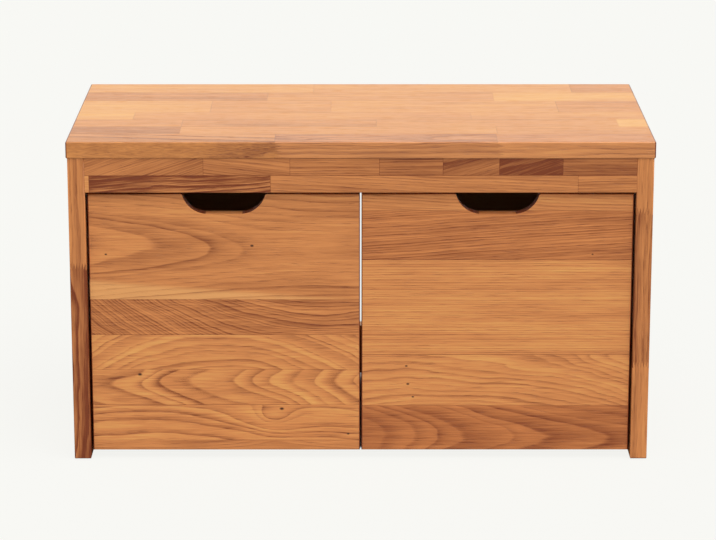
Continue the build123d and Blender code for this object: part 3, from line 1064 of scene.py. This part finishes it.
# %% Fastener tree
class Recipe(Graph):
    """A Geometry Nodes tree with a Places input and named sizes."""

    def __init__(self, name, sizes):
        super().__init__(bpy.data.node_groups.new(name, "GeometryNodeTree"))
        self.add_input("Places", "NodeSocketGeometry")
        self.add_input("Finish", "NodeSocketMaterial")
        self.add_input("Seed", "NodeSocketInt")
        for size in sizes:
            self.add_input(size, "NodeSocketFloat")
        self.tree.interface.new_socket("Made", in_out="OUTPUT", socket_type="NodeSocketGeometry")
        self.given = self.node("NodeGroupInput")

    def add_input(self, name, kind):
        self.tree.interface.new_socket(name, in_out="INPUT", socket_type=kind)

    def by_step(self, values):
        """A value for each point of a line, by the point's number."""
        number = self.node("GeometryNodeInputIndex")
        chosen = self.node("GeometryNodeIndexSwitch", {"data_type": "FLOAT"}, {"Index": number})
        switch = chosen.socket.node
        while len(switch.index_switch_items) < len(values):
            switch.index_switch_items.new()
        for step, value in enumerate(values):
            self.plug(switch.inputs[step + 1], value)
        return chosen

    def xyz(self, x, y, z):
        return self.node("ShaderNodeCombineXYZ", None, {"X": x, "Y": y, "Z": z})


SIZES = (
    "Crown Radius",
    "Crown Height",
    "Shoulder Radius",
    "Shoulder Height",
    "Neck Radius",
    "Neck Height",
    "Shank Radius",
    "Length",
    "Recess Length",
    "Recess Width",
    "Recess Depth",
)
NECK_STEP = 0.00002


def fastener_recipe():
    recipe = Recipe("fasteners", SIZES)
    given = recipe.given.out
    heights = [given("Crown Height"), given("Shoulder Height"), given("Neck Height")]
    heights += [given("Neck Height") - NECK_STEP, 0.0 - given("Length")]
    radii = [given("Crown Radius"), given("Shoulder Radius"), given("Neck Radius")]
    radii += [given("Shank Radius"), given("Shank Radius")]

    axis = recipe.node("GeometryNodeCurvePrimitiveLine")
    axis = recipe.node("GeometryNodeResampleCurve", None, {"Curve": axis, "Count": len(heights)})
    place = recipe.xyz(0.0, 0.0, recipe.by_step(heights))
    axis = recipe.node("GeometryNodeSetPosition", None, {"Geometry": axis, "Position": place})
    circle = recipe.node("GeometryNodeCurvePrimitiveCircle", None, {"Resolution": 28, "Radius": 1.0})
    sockets = {"Curve": axis, "Profile Curve": circle, "Scale": recipe.by_step(radii), "Fill Caps": True}
    turned = recipe.node("GeometryNodeCurveToMesh", None, sockets)

    long, wide, deep = given("Recess Length"), given("Recess Width"), given("Recess Depth") * 2
    face = recipe.xyz(0.0, 0.0, given("Crown Height"))
    for size in (recipe.xyz(long, wide, deep), recipe.xyz(wide, long, deep)):
        bar = recipe.node("GeometryNodeMeshCube", None, {"Size": size})
        bar = recipe.node("GeometryNodeTransform", None, {"Geometry": bar, "Translation": face})
        turned = recipe.node("GeometryNodeMeshBoolean", None, {"Mesh 1": turned, "Mesh 2": bar})

    facing = recipe.node("GeometryNodeInputNamedAttribute", {"data_type": "FLOAT_VECTOR"}, {"Name": "facing"})
    outwards = recipe.node("FunctionNodeAlignRotationToVector", {"axis": "Z"}, {"Vector": facing})
    seed = {2: 0.0, 3: math.pi / 2, 8: given("Seed")}
    angle = recipe.node("FunctionNodeRandomValue", {"data_type": "FLOAT"}, seed, output=1)
    turn = recipe.node("FunctionNodeAxisAngleToRotation", None, {"Axis": (0, 0, 1), "Angle": angle})
    sockets = {"Rotation": outwards, "Rotate By": turn}
    rotation = recipe.node("FunctionNodeRotateRotation", {"rotation_space": "LOCAL"}, sockets)
    sockets = {"Points": given("Places"), "Instance": turned, "Rotation": rotation}
    copies = recipe.node("GeometryNodeInstanceOnPoints", None, sockets)
    copies = recipe.node("GeometryNodeRealizeInstances", None, {"Geometry": copies})
    sockets = {"Geometry": copies, "Material": given("Finish")}
    made = recipe.node("GeometryNodeSetMaterial", None, sockets)
    recipe.node("NodeGroupOutput", None, {"Made": made}, output=None)
    return recipe


FASTENERS = fastener_recipe()
print("fastener tree:", len(FASTENERS.tree.nodes), "nodes")

# %% [markdown]
# ## Setting the fasteners
#
# The tree runs on a mesh of bare points that carry their facing, and its result is kept as a plain mesh for
# each body. The places follow the boxes of the pieces that the screws hold, so a box screw lies on its
# panel's face and a castor screw under its plate.

# %% Fasteners in place
CAM_LOCK = (0.0071, 0.0, 0.0075, -0.0004, 0.0075, -0.010, 0.0075, 0.017, 0.008, 0.0014, 0.002)
BOX_SCREW = (0.0039, 0.0, 0.004, -0.0001, 0.002, -0.002, 0.002, 0.040, 0.004, 0.001, 0.0016)
CASTOR_SCREW = (0.0024, 0.0022, 0.0035, 0.0011, 0.0035, 0.0, 0.00175, 0.010, 0.0035, 0.001, 0.0012)
SHARP_ANGLE = math.radians(30)


def set_fasteners(node, body, finish, sizes, places, seed):
    """Makes one kind of fastener at every place of a body, in its node's stead."""
    points = bpy.data.meshes.new(node + "_places")
    points.from_pydata([place for place, _ in places], [], [])
    facing = points.attributes.new("facing", "FLOAT_VECTOR", "POINT")
    facing.data.foreach_set("vector", [part for _, outwards in places for part in outwards])
    carrier = bpy.data.objects.new(node + "_places", points)
    scene.collection.objects.link(carrier)
    modifier = carrier.modifiers.new("fasteners", "NODES")
    modifier.node_group = FASTENERS.tree
    values = dict(zip(SIZES, sizes), Finish=finish, Seed=seed)
    for item in FASTENERS.tree.interface.items_tree:
        if item.name in values:
            modifier[item.identifier] = values[item.name]
    mesh = plain_mesh(carrier)
    shell = bmesh.new()
    shell.from_mesh(mesh)
    bmesh.ops.remove_doubles(shell, verts=list(shell.verts), dist=1e-7)
    bmesh.ops.recalc_face_normals(shell, faces=list(shell.faces))
    shell.to_mesh(mesh)
    shell.free()
    mesh.polygons.foreach_set("use_smooth", [True] * len(mesh.polygons))
    mesh.set_sharp_from_angle(angle=SHARP_ANGLE)
    piece = bpy.data.objects.new(node + "_turned", mesh)
    scene.collection.objects.link(piece)
    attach(piece, body)
    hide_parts(node)
    print(piece.name, len(places), "places,", len(mesh.polygons), "faces")


set_fasteners("cam_locks", "carcass", ZINC_CAST, CAM_LOCK, cam_places, 1)

SCREW_INSET = 0.050
BACK_SCREW_REACH = 0.130
PLATE_INSET = 0.007
PLATE_SIZE = Vector((0.046, 0.056))
PLATE_THICKNESS = 0.002
for seed, side in enumerate(FRONT_ROWS, 2):
    low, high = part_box(side + "_drawer_left_side")
    far_low, far_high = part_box(side + "_drawer_right_side")
    under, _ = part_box(side + "_drawer_bottom")
    back_low, back_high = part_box(side + "_drawer_back")
    middle, back = (low.x + far_high.x) / 2, (back_low.y + back_high.y) / 2
    front, height = low.y, under.z
    depths = (front + SCREW_INSET, (front + back_high.y) / 2, back_high.y - 2 * SCREW_INSET)
    levels = (low.z + SCREW_INSET, (low.z + high.z) / 2, high.z - SCREW_INSET)
    down = Vector((0, 0, -1))
    box_places = []
    left = (low.x, (low.x + high.x) / 2, -1)
    right = (far_high.x, (far_low.x + far_high.x) / 2, 1)
    for edge, centre, outwards in (left, right):
        box_places += [(Vector((edge, back, z)), Vector((outwards, 0, 0))) for z in levels]
        box_places += [(Vector((centre, y, height)), down) for y in depths]
        box_places.append((Vector((middle + outwards * BACK_SCREW_REACH, back, height)), down))
    set_fasteners(
        side + "_drawer_screws", side + "_drawer", ZINC_STEEL, BOX_SCREW, box_places, seed
    )

    castor_places = []
    reach = PLATE_SIZE / 2 - Vector((PLATE_INSET, PLATE_INSET))
    for joint in frame["joints"]:
        if joint["parent"] == side + "_drawer":
            x, y, _ = joint["pos_m"]
            for step_x in (-reach.x, reach.x):
                for step_y in (-reach.y, reach.y):
                    castor_places.append((Vector((x + step_x, y + step_y, height - PLATE_THICKNESS)), down))
    set_fasteners(
        side + "_castor_screws", side + "_drawer", ZINC_STEEL, CASTOR_SCREW, castor_places, seed
    )

# %% [markdown]
# ## Sizes
#
# The box of the finished bench is printed in millimetres.

# %% Sizes and the end
low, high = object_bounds()
print("box:", [round((b - a) * 1000, 2) for a, b in zip(low, high)], "mm")
